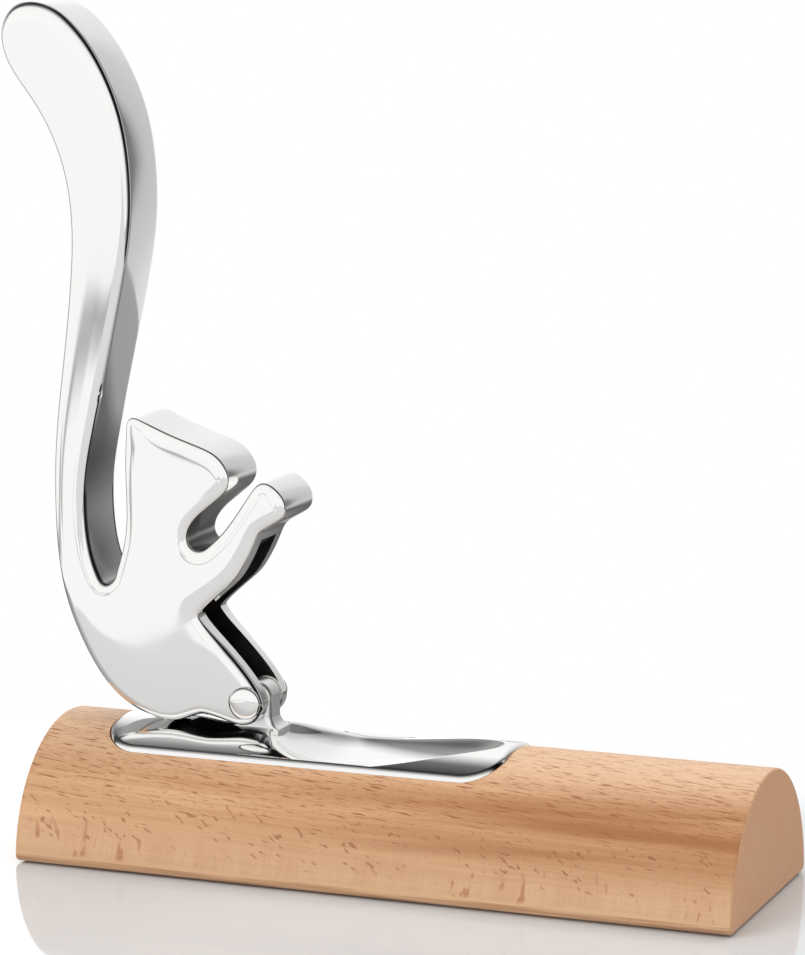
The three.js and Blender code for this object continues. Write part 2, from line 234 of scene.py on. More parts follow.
# Rays, low on the sides. Their noises are marks along and up, detail, and span.
BEECH_RAY = (0.49, 0.19, 0.09, 1)
RAY_STRENGTH = 0.75
RAY_FLECKS = (330, 115, 2, 0.58, 0.66)
RAY_PATCHES = (32, 24, 0, 0.46, 0.54)
RAY_SHADE = (170, 35, 1, 0.4, 0.65, 0, 0.16)
RAY_RIPPLE = (1500, 90, 1, 0.4, 0.65, 0, 0.14)
RAY_FOOT_SPAN = (3.2 * MM, 4.8 * MM)
RAY_TOP_SPAN = (9 * MM, 18 * MM, 1, 0)
RAY_MIDDLE = 9 * MM
RAY_BOW = 25
# A band of painted shade on the foot's rounding, in streaks, and the sawn ends with their rings and specks.
BEECH_FOOT_SHADE = (0.4, 0.17, 0.07, 1)
FOOT_SPAN = (2.9 * MM, 3.1 * MM, 1, 0)
FOOT_MARKS = (25, 1400, 3)
FOOT_MARKS_SPAN = (0.35, 0.65, 0.05, 0.7)
END_DEPTH = 0.1 * MM
RING_COLOURS = ((0.63, 0.31, 0.15, 1), (0.74, 0.4, 0.21, 1))
HEART_BEHIND = 58 * MM
HEART_BELOW = 14 * MM
RING_STEP = 1.7 * MM
RING_SWAY = 3 * MM
RING_SWAYS = 60
SPECK_COLOUR = (0.5, 0.25, 0.135, 1)
SPECKS = 1500
SPECK_SPAN = (0.5, 0.7, 0, 0.4)

# Fineness of the meshes
OUTLINE_STEP = 0.5 * MM
OUTLINE_PASSES = 6
BEND_PASSES = 10
FAIR_PASSES = 240
FAIR_SHARE = 0.12
FAIR_REACH = 5 * MM
FAIR_MOST = 0.5
ROOM_SHARE = 0.85
ROOM_PASSES = 4
ROOM_BLUR_PASSES = 30
LEAN_PASSES = 4
SMALLEST_TURN = 1e-12
SMALLEST_GAP = 1e-9
WELD_GAP = 0.001 * MM
ROUND_STEPS = 18
FACE_STEPS = 36
RIBBON_STEPS = 3
SLOT_STEPS = 6
TURNED_SIDES = 128
DOME_STEPS = 24
PAD_STEPS = 6
CORNER_STEPS = 40
LUG_TOP_POINTS = 13
LOG_CORNER_POINTS = 12
LOG_TOP_POINTS = 260
TRAY_RINGS = 90
TRAY_SIDES = 720
SHARP_DEG = 32
FACE_WEIGHT = 50

# The squirrel's outline about the hinge: across in shares of the reach, up in shares of the height.
BACK_SHARES = [
    (-0.188, -0.019), (-0.225, -0.028), (-0.314, -0.0385), (-0.413, -0.033), (-0.54, -0.007),
    (-0.616, 0.023), (-0.697, 0.076), (-0.751, 0.124), (-0.784, 0.179), (-0.799, 0.259), (-0.793, 0.366),
    (-0.758, 0.478), (-0.725, 0.586), (-0.713, 0.675), (-0.734, 0.746), (-0.798, 0.814), (-0.878, 0.862),
    (-0.943, 0.892), (-0.99, 0.928), (-0.993, 0.963), (-0.946, 0.991), (-0.86, 1), (-0.774, 0.992),
    (-0.694, 0.97), (-0.641, 0.948), (-0.579, 0.912), (-0.495, 0.835), (-0.463, 0.748), (-0.463, 0.69),
    (-0.499, 0.602), (-0.566, 0.486), (-0.631, 0.376), (-0.666, 0.303), (-0.663, 0.237), (-0.627, 0.179),
    (-0.583, 0.16), (-0.551, 0.166), (-0.529, 0.186), (-0.502, 0.22), (-0.491, 0.275), (-0.497, 0.35),
]
HEAD_SHARES = [
    (-0.491, 0.382), (-0.489, 0.394), (-0.478, 0.403), (-0.456, 0.407), (-0.431, 0.405), (-0.366, 0.394),
    (-0.251, 0.378), (-0.143, 0.365), (-0.107, 0.356), (-0.082, 0.345), (-0.066, 0.333), (-0.062, 0.322),
    (-0.072, 0.309), (-0.106, 0.294), (-0.166, 0.277), (-0.223, 0.254), (-0.239, 0.236), (-0.226, 0.223),
    (-0.188, 0.218), (-0.144, 0.227), (-0.089, 0.247), (-0.033, 0.276), (0.025, 0.31), (0.054, 0.321),
    (0.08, 0.324), (0.107, 0.321), (0.136, 0.313), (0.161, 0.301), (0.169, 0.289), (0.162, 0.276),
    (0.139, 0.267), (0.103, 0.259), (0.07, 0.252), (0.044, 0.239), (0.026, 0.22), (-0.003, 0.198),
    (-0.032, 0.181), (-0.067, 0.167), (-0.116, 0.152), (-0.16, 0.138), (-0.208, 0.121),
]
LEG_SHARES = [
    (-0.208, 0.121), (-0.138, 0.097), (-0.071, 0.072), (-0.015, 0.05), (0.024, 0.032), (0.052, 0.014),
    (0.064, -0.004), (0.05, -0.021), (0.012, -0.033), (-0.04, -0.036), (-0.11, -0.029), (-0.188, -0.019),
]
# The slot's blind side between its two ends on the outline.
SLOT_SHARES = [
    (0.02, 0.226), (-0.02, 0.217), (-0.07, 0.204), (-0.12, 0.19), (-0.19, 0.176), (-0.27, 0.158),
    (-0.32, 0.13), (-0.31, 0.1), (-0.29, 0.07), (-0.28, 0.04), (-0.275, 0.01), (-0.28, -0.02),
]
SLOT_START_SHARE = (0.04, 0.236)
SLOT_END_SHARE = (-0.28, -0.034)
# Painted shade in the lever's hollows, which darkens them and makes them rougher: place, reach, how much
# flatter than round, how strongly shaded, and from how far to how far off the middle plane. The last one is
# painted shade on the edge between tail and back.
HOLLOW_DEPTHS = (-1 * MM, 9.7 * MM)
HOLLOWS = [
    (-85.5 * MM, 97 * MM, 9.5 * MM, 0.45, 0.65, HOLLOW_DEPTHS),
    (-55 * MM, 98 * MM, 8 * MM, 0.9, 0.65, HOLLOW_DEPTHS),
    (-49 * MM, 40 * MM, 9 * MM, 1.2, 0.95, HOLLOW_DEPTHS),
    (-55.5 * MM, 92 * MM, 3.5 * MM, 1, 0.95, (-1 * MM, 10 * MM)),
    (-93.5 * MM, 92 * MM, 8 * MM, 0.6, 1, (8.6 * MM, 10.4 * MM)),
]
HOLLOW_BLUR = 0.3 * MM
HOLLOW_FADE = 1.7
# The colour of the painted shade in the hollows.
HOLLOW_SHADE_COLOUR = (0.06, 0.055, 0.05, 1)
HOLLOW_ROUGH = 0.25


class Skin:
    """Points and faces that grow ring by ring. Each face has a kind, which picks its material."""

    def __init__(self):
        self.points = []
        self.faces = []
        self.kinds = []

    def ring(self, across, along, up):
        """Adds one ring of points and returns their numbers."""
        first = len(self.points)
        rows = np.broadcast_arrays(across, along, up)
        self.points.extend(zip(*(row.tolist() for row in rows)))
        return np.arange(first, len(self.points))

    def face(self, corners, kind=0):
        self.faces.append([int(corner) for corner in corners])
        self.kinds.append(kind)

    def sleeve(self, rings, kind=0, keep=None, closed=True):
        """Joins each ring to the next one by four-sided faces. Keep says which stretches get one."""
        count = len(rings[0])
        for first, second in zip(rings, rings[1:]):
            for i in range(count if closed else count - 1):
                if keep is None or keep[i]:
                    j = (i + 1) % count
                    self.face((first[i], first[j], second[j], second[i]), kind)

    def closed(self, rings):
        """Joins each ring to the next one, and closes both ends."""
        self.face(rings[0])
        self.face(rings[-1])
        self.sleeve(rings)
        return self

    def build(self, name, materials=(), weld=0.0):
        """Makes the piece. Points that lie closer than the weld become one."""
        mesh = bpy.data.meshes.new(name)
        mesh.from_pydata(self.points, [], self.faces)
        mesh.polygons.foreach_set("material_index", self.kinds)
        for material in materials:
            mesh.materials.append(material)
        shape = bmesh.new()
        shape.from_mesh(mesh)
        if weld:
            bmesh.ops.remove_doubles(shape, verts=shape.verts, dist=weld)
        bmesh.ops.recalc_face_normals(shape, faces=shape.faces)
        shape.to_mesh(mesh)
        shape.free()
        piece = bpy.data.objects.new(name, mesh)
        bpy.context.scene.collection.objects.link(piece)
        return piece


def settle(piece):
    """Applies the modifiers and leaves one plain mesh on the piece."""
    graph = bpy.context.evaluated_depsgraph_get()
    mesh = bpy.data.meshes.new_from_object(piece.evaluated_get(graph), depsgraph=graph)
    piece.modifiers.clear()
    piece.data = mesh


def polish(piece):
    """Smooth shading with sharp corners kept. The flat faces lead, so that they mirror as flat faces do."""
    piece.data.shade_smooth()
    piece.data.set_sharp_from_angle(angle=math.radians(SHARP_DEG))
    weighted = piece.modifiers.new("weighted", "WEIGHTED_NORMAL")
    weighted.mode = "FACE_AREA"
    weighted.weight = FACE_WEIGHT
    weighted.keep_sharp = True
    settle(piece)


def cut(piece, cutters):
    """Takes the cutters out of a piece and deletes them."""
    for cutter in cutters:
        step = piece.modifiers.new("cut", "BOOLEAN")
        step.operation = "DIFFERENCE"
        step.solver = "EXACT"
        step.object = cutter
    settle(piece)
    for cutter in cutters:
        bpy.data.objects.remove(cutter)


def spline(points, step):
    """A natural cubic spline through the points, sampled about evenly."""
    points = np.asarray(points, float)
    count = len(points)
    gaps = np.linalg.norm(np.diff(points, axis=0), axis=1)
    chord = np.concatenate([[0], np.cumsum(gaps)])
    left = np.eye(count)
    right = np.zeros_like(points)
    for i in range(1, count - 1):
        left[i, i - 1 : i + 2] = gaps[i - 1], 2 * (gaps[i - 1] + gaps[i]), gaps[i]
        slope_after = (points[i + 1] - points[i]) / gaps[i]
        slope_before = (points[i] - points[i - 1]) / gaps[i - 1]
        right[i] = 6 * (slope_after - slope_before)
    bend = np.linalg.solve(left, right)
    at = np.linspace(0, chord[-1], max(2, round(chord[-1] / step)) + 1)
    k = np.clip(np.searchsorted(chord, at, side="right") - 1, 0, count - 2)
    before = (at - chord[k])[:, None]
    after = (chord[k + 1] - at)[:, None]
    gap = gaps[k][:, None]
    curve = (bend[k] * after**3 + bend[k + 1] * before**3) / (6 * gap)
    curve += (points[k] / gap - bend[k] * gap / 6) * after
    curve += (points[k + 1] / gap - bend[k + 1] * gap / 6) * before
    return curve


def closed_loop(runs, step):
    """One closed outline from runs that start where the last one ended."""
    return np.concatenate([spline(run, step)[:-1] for run in runs])


def even_loop(loop, step):
    """The same closed outline with its points spread evenly."""
    ring = np.vstack([loop, loop[:1]])
    length = np.concatenate([[0], np.cumsum(np.linalg.norm(np.diff(ring, axis=0), axis=1))])
    at = np.linspace(0, length[-1], round(length[-1] / step), endpoint=False)
    return np.stack([np.interp(at, length, ring[:, axis]) for axis in (0, 1)], axis=1)


def bend_radius(loop):
    before = loop - np.roll(loop, 1, axis=0)
    after = np.roll(loop, -1, axis=0) - loop
    turn = before[:, 0] * after[:, 1] - before[:, 1] * after[:, 0]
    length = np.linalg.norm(before, axis=1)
    return length**3 / np.maximum(np.abs(turn), SMALLEST_TURN)


def soften(values, passes):
    """Blurs a value round a closed outline."""
    for _ in range(passes):
        values = (np.roll(values, 1, axis=0) + 2 * values + np.roll(values, -1, axis=0)) / 4
    return values


def fair(loop, step):
    """Smooths an outline more where it bends less, so that a mirror finish on it doesn't ripple."""
    radius = soften(bend_radius(soften(loop, OUTLINE_PASSES)), BEND_PASSES)
    reach = np.minimum(FAIR_SHARE * radius, FAIR_REACH)
    pull = np.minimum(reach**2 / (FAIR_PASSES * step**2), FAIR_MOST)[:, None]
    for _ in range(FAIR_PASSES):
        middle = (np.roll(loop, 1, axis=0) + np.roll(loop, -1, axis=0)) / 2
        loop = loop + pull * (middle - loop)
    return loop


def inward_normals(loop):
    tangent = np.roll(loop, -1, axis=0) - np.roll(loop, 1, axis=0)
    tangent /= np.linalg.norm(tangent, axis=1)[:, None]
    normal = np.stack([-tangent[:, 1], tangent[:, 0]], axis=1)
    turned = np.roll(loop, -1, axis=0)
    area = np.sum(loop[:, 0] * turned[:, 1] - loop[:, 1] * turned[:, 0])
    return normal if area > 0 else -normal


def room_inside(loop, normal):
    """The radius of the largest ball that touches the outline from inside at each point."""
    apart = loop[None, :, :] - loop[:, None, :]
    ahead = np.einsum("ijk,ik->ij", apart, normal)
    square = np.einsum("ijk,ijk->ij", apart, apart)
    with np.errstate(divide="ignore", invalid="ignore"):
        radius = np.where(ahead > SMALLEST_GAP, square / (2 * ahead), np.inf)
    return radius.min(axis=1)


def edge_radius(loop, normal, wanted):
    """The edge rounding at each point, smaller where the outline turns too tightly for it."""
    room = np.minimum(ROOM_SHARE * room_inside(loop, normal), wanted)
    for _ in range(ROOM_PASSES):
        room = np.minimum(room, np.minimum(np.roll(room, 1), np.roll(room, -1)))
    return soften(room, ROOM_BLUR_PASSES)


def cast_plate(loop, thickness, rounding, place, crown=0.0, face_crown=0.0, slot=None, tight=1):
    """A plate of the outline's shape with rounded edges, and slightly crowned sides and faces.

    Place turns (across, through, up) into the frame's axes. A slot is (its width, the outline's numbers of
    its two ends, its blind side), and it is open on the outline between those ends. Tight is the share of the
    rounding that its radius has next to the side, and next to the face the radius is as much larger.
    """
    skin = Skin()
    normal = inward_normals(loop)
    radius = edge_radius(loop, normal, rounding)
    half = thickness / 2 - face_crown
    wide = 2 - tight

    def ring(inset, through):
        inside = loop + normal * np.asarray(inset).reshape(-1, 1)
        return skin.ring(*place(inside[:, 0], through, inside[:, 1]))

    def side_ring(through):
        return ring(crown * (through / half) ** 2, through)

    def rounded(turn):
        """How far in and through the edge's rounding has come where its normal has turned so far."""
        outer, inner = np.minimum(turn, BEVEL_TURN), np.maximum(turn, BEVEL_TURN)
        inset = tight * (np.cos(lean) - np.cos(outer)) + wide * (math.cos(BEVEL_TURN) - np.cos(inner))
        through = tight * (np.sin(outer) - np.sin(lean)) + wide * (np.sin(inner) - math.sin(BEVEL_TURN))
        return radius * inset, radius * through

    lean = np.zeros_like(radius)
    for _ in range(LEAN_PASSES):
        start = half - rounded(QUARTER)[1]
        lean = np.arctan(2 * crown * start / half**2)
    start_inset = crown * (start / half) ** 2
    rounds = []
    for turn in np.linspace(lean, QUARTER, ROUND_STEPS + 1):
        inset, through = rounded(turn)
        rounds.append((start_inset + inset, start + through))
    if face_crown:
        reach = edge_radius(loop, normal, FACE_CROWN_REACH + rounding) - radius
        rim_inset, rim_through = rounds[-1]
        for share in np.linspace(0, 1, FACE_STEPS + 1)[1:]:
            rise = face_crown * (1 - (1 - share) ** 3)
            rounds.append((rim_inset + reach * share, rim_through + rise))
    slot_half = slot[0] / 2 if slot else half / 2
    levels = np.linspace(-slot_half, slot_half, SLOT_STEPS + 1)

    chain = []
    for side in (-1, 1):
        rings = [ring(inset, side * through) for inset, through in reversed(rounds)]
        for through in np.linspace(start, slot_half, RIBBON_STEPS + 1)[1:]:
            rings.append(side_ring(side * through))
        skin.face(rings[0])
        skin.sleeve(rings)
        chain.append(rings[-1])
    chain[1:1] = [side_ring(through) for through in levels[1:-1]]
    if not slot:
        skin.sleeve(chain)
        return skin

    _, first, last, blind = slot
    keep = np.ones(len(loop), bool)
    keep[first:last] = False
    skin.sleeve(chain, keep=keep)
    walls = []
    for edge, through in zip(chain, levels):
        inner = skin.ring(*place(blind[1:-1, 0], through, blind[1:-1, 1]))
        walls.append([edge[first], *inner, edge[last]])
    skin.sleeve(walls, kind=1, closed=False)
    for k in (0, -1):
        skin.face([*chain[k][first:last], *walls[k][:0:-1]], 1)
    return skin


def turned(profile, place):
    """A solid turned about its axis from (radius, along) pairs, with a flat face at both ends."""
    skin = Skin()
    angle = np.arange(TURNED_SIDES) * 2 * math.pi / TURNED_SIDES
    return skin.closed([skin.ring(*place(r * np.cos(angle), at, r * np.sin(angle))) for r, at in profile])


def arc(across, up, radius, start, end, count):
    """Points on an arc about a place."""
    turns = np.linspace(start, end, count)
    return [(across + radius * math.cos(t), up + radius * math.sin(t)) for t in turns]


def headed_shank(top, seat, radius, end):
    """Profile points of a domed head from its top to its rim, and of the shank behind it."""
    rim = seat + math.copysign(PIN_HEAD_RIM, top - seat)
    turns = np.linspace(QUARTER, 0, DOME_STEPS + 1)
    head = [(radius * math.cos(t), rim + (top - rim) * math.sin(t)) for t in turns]
    return head + [(radius, seat), (PIN_RADIUS, seat), (PIN_RADIUS, end)]


def lever_place(across, through, up):
    return hinge.x + across, hinge.y + through, hinge.z + up


def upright_box(node):
    """A node's box, and what turns (across, through, up) into an upright axis through its middle."""
    low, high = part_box(node)
    middle = (low + high) / 2
    return low, high, lambda across, through, up: (middle.x + across, middle.y + up, 0 * across + through)


def scaled(shares):
    return [(across * LEVER_REACH, up * LEVER_HEIGHT) for across, up in shares]


def squirrel_outline():
    loop = closed_loop([scaled(BACK_SHARES + HEAD_SHARES), scaled(LEG_SHARES)], OUTLINE_STEP)
    loop = fair(even_loop(loop, OUTLINE_STEP), OUTLINE_STEP)
    loop = np.roll(loop, len(loop) // 4, axis=0)
    low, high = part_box("squirrel_lever")
    loop[:, 0] *= np.where(loop[:, 0] < 0, (low.x - hinge.x) / loop[:, 0].min(), 1)
    loop[:, 1] *= np.where(loop[:, 1] > 0, (high.z - hinge.z) / loop[:, 1].max(), 1)
    return loop


def nearest(loop, share):
    spot = np.array(scaled([share])[0])
    return int(np.argmin(np.linalg.norm(loop - spot, axis=1)))


def make_squirrel():
    low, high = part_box("squirrel_lever")
    thickness = high.y - low.y
    loop = squirrel_outline()
    first = nearest(loop, SLOT_START_SHARE)
    last = nearest(loop, SLOT_END_SHARE)
    blind = spline([loop[first]] + scaled(SLOT_SHARES[1:-1]) + [loop[last]], OUTLINE_STEP)
    slot = (SLOT_WIDTH, first, last, blind)
    apart = np.linalg.norm((loop - TIGHT_MIDDLE) / TIGHT_REACH, axis=1)
    tight = np.interp(apart, TIGHT_BLEND, (TIGHT_SHARE, 1))
    skin = cast_plate(loop, thickness, EDGE_ROUND, lever_place, SIDE_CROWN, FACE_CROWN, slot, tight)
    piece = skin.build("squirrel_body", [chrome("lever_chrome", HOLLOWS), slot_wall_shade()])
    half = thickness / 2
    spot = half - SPOT_FACE_DEPTH
    far = half + CUTTER_OVERRUN
    profile = [(SPOT_FACE_RADIUS, -far), (SPOT_FACE_RADIUS, -spot), (PIN_BORE_RADIUS, -spot)]
    rear_radius = CAP_HEAD_RADIUS + PIN_SEAT_GAP
    profile += [(PIN_BORE_RADIUS, spot), (rear_radius, spot), (rear_radius, far)]
    cut(piece, [turned(profile, lever_place).build("bore_cutter")])
    polish(piece)
    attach(piece, "lever")
    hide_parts("squirrel_lever")


def make_pin():
    low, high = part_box("hinge_pin")
    top = low.y - hinge.y
    end = high.y - hinge.y
    profile = headed_shank(top, top + PIN_HEAD_HEIGHT, PIN_HEAD_RADIUS, end)
    piece = turned(profile, lever_place).build("pin_with_head", [chrome("pin_chrome")])
    polish(piece)
    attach(piece, "lever")
    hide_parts("hinge_pin")

    low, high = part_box("hinge_cap")
    seat = high.y - hinge.y - PIN_HEAD_HEIGHT
    profile = headed_shank(seat + CAP_HEAD_HEIGHT, seat, CAP_HEAD_RADIUS, end + PIN_SEAT_GAP)
    piece = turned(profile, lever_place).build("pin_cap", [chrome("cap_chrome")])
    polish(piece)
    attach(piece, "lever")
    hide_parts("hinge_cap")


def rounded_plan(length, width, radius, count):
    """Points round a rectangle with round corners, spread evenly, the middle at the origin."""
    x, y = length / 2 - radius, width / 2 - radius
    loop = []
    for k, (corner_x, corner_y) in enumerate([(x, y), (-x, y), (-x, -y), (x, -y)]):
        loop += arc(corner_x, corner_y, radius, k * QUARTER, (k + 1) * QUARTER, CORNER_STEPS)
    return even_loop(np.array(loop), 2 * (length + width) / count)


def crown_height(y):
    return log_axis_z + np.sqrt(crown_radius**2 - y**2)


def bowl_height(x, y):
    """The height of the egg that sinks the bowl, rising steeply outside it."""
    along = x - (hinge.x + BOWL_REACH)
    reach = np.where(along < 0, BOWL_NEAR_RADIUS, BOWL_FAR_RADIUS)
    far = np.clip(along / BOWL_FAR_RADIUS, 0, 1)
    width = BOWL_HALF_WIDTH * (1 - BOWL_TAPER_SHARE * (1 - np.cos(math.pi * far)) / 2)
    out = np.sqrt((along / reach) ** 2 + (y / width) ** 2)
    middle = log_axis_z + crown_radius + BOWL_RISE
    inside = middle - BOWL_DROP * np.sqrt(np.maximum(1 - out**2, 0))
    return inside + BOWL_BRIM_RISE * np.maximum(out - 1, 0)


def tray_height(x, y):
    """The crown with the bowl sunk into it, and a rounded rim between them."""
    crown, bowl = crown_height(y), bowl_height(x, y)
    near = np.maximum(BOWL_RIM_BLEND - np.abs(crown - bowl), 0) / BOWL_RIM_BLEND
    return np.minimum(crown, bowl) - near**2 * BOWL_RIM_BLEND / 4


def make_tray():
    low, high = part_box("tray")
    length, width = high.x - low.x, high.y - low.y
    middle_x = (low.x + high.x) / 2
    plan = rounded_plan(length, width, TRAY_CORNER_RADIUS, TRAY_SIDES)
    spine_half = (length - width) / 2
    spine = np.stack([np.clip(plan[:, 0], -spine_half, spine_half), 0 * plan[:, 1]], axis=1)
    reach = np.linalg.norm(plan - spine, axis=1)

    skin = Skin()

    def ring(inset, height):
        share = np.clip(inset / reach, 0, 1)[:, None]
        at = plan + (spine - plan) * share
        x, y = middle_x + at[:, 0], at[:, 1]
        return skin.ring(x, y, height(x, y))

    top = []
    for turn in np.linspace(0, QUARTER, ROUND_STEPS, endpoint=False):
        drop = TRAY_EDGE_ROUND * (1 - math.sin(turn))
        top.append(ring(TRAY_EDGE_ROUND * (1 - math.cos(turn)), lambda x, y: crown_height(y) - drop))
    shares = np.linspace(0, 1, TRAY_RINGS + 1)
    top += [ring(TRAY_EDGE_ROUND + (reach - TRAY_EDGE_ROUND) * share, tray_height) for share in shares]
    foot = ring(0, lambda x, y: low.z)
    under = [ring(TRAY_WALL, lambda x, y: low.z)]
    for share in shares:
        inset = TRAY_WALL + (reach - TRAY_WALL) * share
        under.append(ring(inset, lambda x, y: tray_height(x, y) - TRAY_WALL))
    for rings in (top, under, [top[0], foot, under[0]]):
        skin.sleeve(rings)
    piece = skin.build("tray_shell", [chrome("tray_chrome")], WELD_GAP)
    polish(piece)
    for piece in (piece, make_lug(), *make_bosses()):
        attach(piece, "base")
        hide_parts("tray")


def make_lug():
    """The lug stands on the crown, with its foot flared into it."""
    crown = log_axis_z + crown_radius - hinge.z
    foot = crown - TRAY_WALL
    side = LUG_RADIUS
    flare = [(side + LUG_FLARE, crown - LUG_FLARE / 4), (side + LUG_FLARE / 3, crown + LUG_FLARE / 4)]
    flare.append((side, crown + LUG_FLARE))
    right = [(side + LUG_FLARE, foot), flare[0]]
    over = arc(0, 0, side, 0, math.pi, LUG_TOP_POINTS)
    left = [(-across, up) for across, up in reversed(flare)]
    runs = [right, flare, [flare[-1], over[0]], over, [over[-1], left[0]], left]
    runs += [[left[-1], (-side - LUG_FLARE, foot)], [(-side - LUG_FLARE, foot), (side + LUG_FLARE, foot)]]
    loop = even_loop(closed_loop(runs, OUTLINE_STEP / 2), OUTLINE_STEP / 2)
    skin = cast_plate(loop, LUG_THICKNESS, LUG_EDGE_ROUND, lever_place)
    piece = skin.build("tray_lug", [chrome("lug_chrome", least_rough=LUG_ROUGH)])
    far = LUG_THICKNESS
    cut(piece, [turned([(LUG_BORE_RADIUS, -far), (LUG_BORE_RADIUS, far)], lever_place).build("eye_cutter")])
    polish(piece)
    return piece


def make_bosses():
    """The posts under the tray that its screws go into."""
    bosses = []
    turns = np.linspace(0, 2 * math.pi, TURNED_SIDES)
    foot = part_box("tray")[0].z
    for node in sorted(frame["nodes"]):
        if not node.startswith("tray_screw") or "washer" in node:
            continue
        _, high, at = upright_box(node)
        x, y, _ = at(BOSS_RADIUS * np.cos(turns), 0, BOSS_RADIUS * np.sin(turns))
        post = [(BOSS_RADIUS, foot), (BOSS_RADIUS, tray_height(x, y).min() - TRAY_WALL / 2)]
        bore = [(SCREW_HOLE_RADIUS, foot - CUTTER_OVERRUN), (SCREW_HOLE_RADIUS, high.z + POCKET_GAP)]
        piece = turned(post, at).build(node.replace("tray_screw", "tray_boss"), [chrome("boss_chrome")])
        cut(piece, [turned(bore, at).build("boss_cutter")])
        polish(piece)
        bosses.append(piece)
    return bosses


def make_log():
    low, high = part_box("log_base")
    corner = math.sqrt((log_radius - LOG_EDGE_ROUND) ** 2 - LOG_EDGE_ROUND**2)
    tip = math.atan2(LOG_EDGE_ROUND, corner)
    right = arc(corner, LOG_EDGE_ROUND, LOG_EDGE_ROUND, -QUARTER, tip, LOG_CORNER_POINTS)
    over = arc(0, 0, log_radius, tip, math.pi - tip, LOG_TOP_POINTS)
    left = [(-across, up) for across, up in reversed(right)]
    loop = np.array(right + over[1:-1] + left)
    middle_x = (low.x + high.x) / 2

    def log_place(across, through, up):
        return middle_x + through + 0 * across, across, log_axis_z + up

    skin = cast_plate(loop, high.x - low.x, LOG_END_ROUND, log_place)
    piece = skin.build("beech_log", [beech()])

    tray_low, tray_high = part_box("tray")
    plan = rounded_plan(tray_high.x - tray_low.x + 2 * POCKET_GAP, tray_high.y - tray_low.y + 2 * POCKET_GAP,
                        TRAY_CORNER_RADIUS + POCKET_GAP, TRAY_SIDES)
    tray_x = (tray_low.x + tray_high.x) / 2
    pocket = Skin()
    levels = (tray_low.z - POCKET_GAP, log_axis_z + crown_radius + CUTTER_OVERRUN)
    pocket.closed([pocket.ring(tray_x + plan[:, 0], plan[:, 1], level) for level in levels])
    cutters = [pocket.build("pocket_cutter")]
    under = low.z - CUTTER_OVERRUN
    for node in frame["nodes"]:
        node_low, node_high, at = upright_box(node)
        if node.startswith("foot_pad"):
            recess = (node_high.x - node_low.x) / 2 + POCKET_GAP
            profile = [(recess, under), (recess, node_high.z + POCKET_GAP)]
            cutters.append(turned(profile, at).build("recess_cutter"))
        if node.startswith("tray_screw_washer"):
            shoulder = low.z + COUNTERBORE_DEPTH
            profile = [(COUNTERBORE_RADIUS, under), (COUNTERBORE_RADIUS, shoulder)]
            profile += [(SCREW_HOLE_RADIUS, shoulder), (SCREW_HOLE_RADIUS, tray_low.z)]
            cutters.append(turned(profile, at).build("screw_cutter"))
    cut(piece, cutters)
    polish(piece)
    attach(piece, "base")
    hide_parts("log_base")


def make_pads():
    for node in sorted(frame["nodes"]):
        if not node.startswith("foot_pad"):
            continue
        low, high, at = upright_box(node)
        radius = (high.x - low.x) / 2
        profile = []
        for middle, start in ((low.z + PAD_EDGE_ROUND, -QUARTER), (high.z - PAD_EDGE_ROUND, 0)):
            inside = radius - PAD_EDGE_ROUND
            profile += arc(inside, middle, PAD_EDGE_ROUND, start, start + QUARTER, PAD_STEPS + 1)
        skin = turned(profile, at)
        piece = skin.build(node.replace("foot_pad", "rubber_foot"), [mottled("foot_rubber", *RUBBER)])
        polish(piece)
        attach(piece, "base")
        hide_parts(node)


